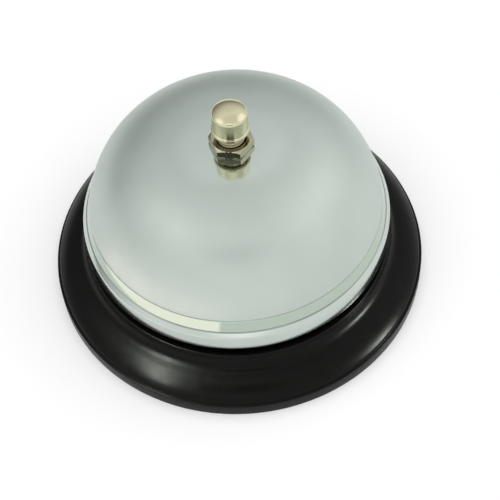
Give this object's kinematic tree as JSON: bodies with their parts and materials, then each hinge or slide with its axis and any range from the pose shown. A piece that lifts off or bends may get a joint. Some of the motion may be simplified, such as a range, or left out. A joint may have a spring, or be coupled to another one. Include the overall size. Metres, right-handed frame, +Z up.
{
  "type": "service bell",
  "caption": "Desk service bell: plated dome on a round black pressed-steel base, with a push button that works a rocking hammer inside.",
  "frame": {"origin": "middle of the foot ring's underside, which is the surface that the bell stands on", "axes": "+Z up along the dome's axis; the hammer lies on the +X side and the lever's pin is parallel to Y"},
  "size_m": [0.085, 0.085, 0.0521],
  "materials": {
    "dome_plate": "satin plated dome, brighter round the rim",
    "bright_nickel": "bright nickel plate, slightly warm",
    "black_paint": "semi-gloss black baked paint",
    "zinc_steel": "zinc-plated pressed steel",
    "bare_steel": "bare steel",
    "brass": "turned brass",
    "fibre": "red vulcanised fibre",
    "rubber": "matt black rubber"
  },
  "bodies": {
    "root": {"foot_ring": "rubber", "base_shell": "black_paint", "bell_dome": "dome_plate", "dome_nut": "bright_nickel", "dome_washer": "fibre", "support_nut": "zinc_steel", "guide_sleeve": "bright_nickel", "yoke": "zinc_steel", "yoke_nut_upper": "zinc_steel", "yoke_nut_lower": "zinc_steel", "yoke_rivet_1": "bare_steel", "yoke_rivet_2": "bare_steel", "yoke_rivet_3": "bare_steel", "yoke_rivet_4": "bare_steel", "spring_stud": "bare_steel", "return_spring": "bare_steel", "pivot_pin": "bare_steel", "pin_clip": "bare_steel", "pivot_spacer_left": "brass", "pivot_spacer_right": "brass"},
    "plunger": {"push_button": "bright_nickel", "plunger_rod": "bare_steel", "cross_pin": "bare_steel", "spring_washer": "bare_steel"},
    "striker": {"striker_lever": "zinc_steel", "hammer_head": "brass", "hammer_screw": "bare_steel"}
  },
  "joints": [
    {"name": "plunger_slide", "type": "slide", "parent": "root", "child": "plunger", "axis": [0, 0, -1], "range_m": [0, 0.0023], "stiffness_N_per_m": 800, "springref_m": -0.003, "deforming": ["return_spring"]},
    {"name": "striker_hinge", "type": "hinge", "parent": "root", "child": "striker", "pos_m": [0.007, 0, 0.02], "axis": [0, -1, 0], "range_deg": [0, 18.4]}
  ],
  "couplings": [
    {"joint": "striker_hinge", "follows": "plunger_slide", "rad_per_m": 138.03}
  ]
}
